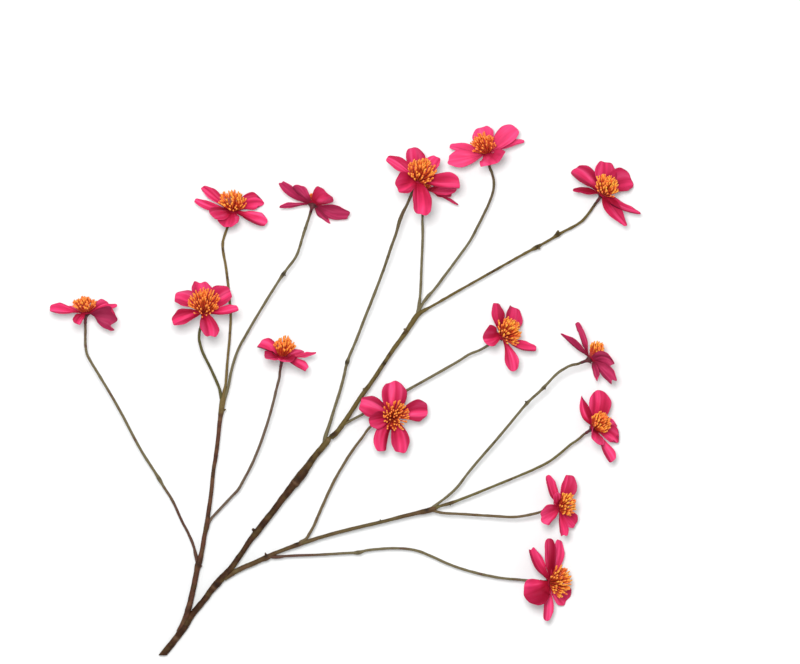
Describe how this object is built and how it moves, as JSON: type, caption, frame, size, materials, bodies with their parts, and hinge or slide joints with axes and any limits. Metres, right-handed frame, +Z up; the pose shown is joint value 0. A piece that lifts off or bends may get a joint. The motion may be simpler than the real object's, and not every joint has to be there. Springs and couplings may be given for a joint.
{
  "type": "cosmos flower spray",
  "caption": "Branching spray of pink artificial cosmos flowers, lying on its side; each head has loose petals, a tuft of orange stamens and a dark calyx on a thin wiry stalk.",
  "frame": {"origin": "centre of the spray's outline, on the surface it lies on", "axes": "+X across the spray towards the fan of flowers on the right, +Y from the cut end towards the top of the spray, +Z up from the surface"},
  "size_m": [0.5076, 0.4586, 0.052],
  "materials": {
    "petals": "soft woven cloth, printed pink-red, darker towards the centre",
    "stamens": "moulded, orange tips on dark red roots",
    "calyx": "moulded, dark maroon, slight sheen",
    "bark": "coated wire, brown, mottled red and olive",
    "stalk": "coated wire, olive brown"
  },
  "bodies": {
    "root": {"petals_01": "petals", "petals_02": "petals", "petals_03": "petals", "petals_04": "petals", "petals_05": "petals", "petals_06": "petals", "petals_07": "petals", "petals_08": "petals", "petals_09": "petals", "petals_10": "petals", "petals_11": "petals", "petals_12": "petals", "petals_13": "petals", "petals_14": "petals", "petals_15": "petals", "stamens_01": "stamens", "stamens_02": "stamens", "stamens_03": "stamens", "stamens_04": "stamens", "stamens_05": "stamens", "stamens_06": "stamens", "stamens_07": "stamens", "stamens_08": "stamens", "stamens_09": "stamens", "stamens_10": "stamens", "stamens_11": "stamens", "stamens_12": "stamens", "stamens_13": "stamens", "stamens_14": "stamens", "stamens_15": "stamens", "calyx_01": "calyx", "calyx_02": "calyx", "calyx_03": "calyx", "calyx_04": "calyx", "calyx_05": "calyx", "calyx_06": "calyx", "calyx_07": "calyx", "calyx_08": "calyx", "calyx_09": "calyx", "calyx_10": "calyx", "calyx_11": "calyx", "calyx_12": "calyx", "calyx_13": "calyx", "calyx_14": "calyx", "calyx_15": "calyx", "main_stem": "bark", "left_branch": "bark", "right_branch": "bark", "flower_stalk_01": "stalk", "flower_stalk_03": "stalk", "flower_stalk_04": "stalk", "flower_stalk_05": "stalk", "flower_stalk_06": "stalk", "flower_stalk_07": "stalk", "flower_stalk_09": "stalk", "flower_stalk_10": "stalk", "flower_stalk_12": "stalk", "flower_stalk_13": "stalk", "flower_stalk_14": "stalk", "flower_stalk_15": "stalk"}
  },
  "joints": []
}
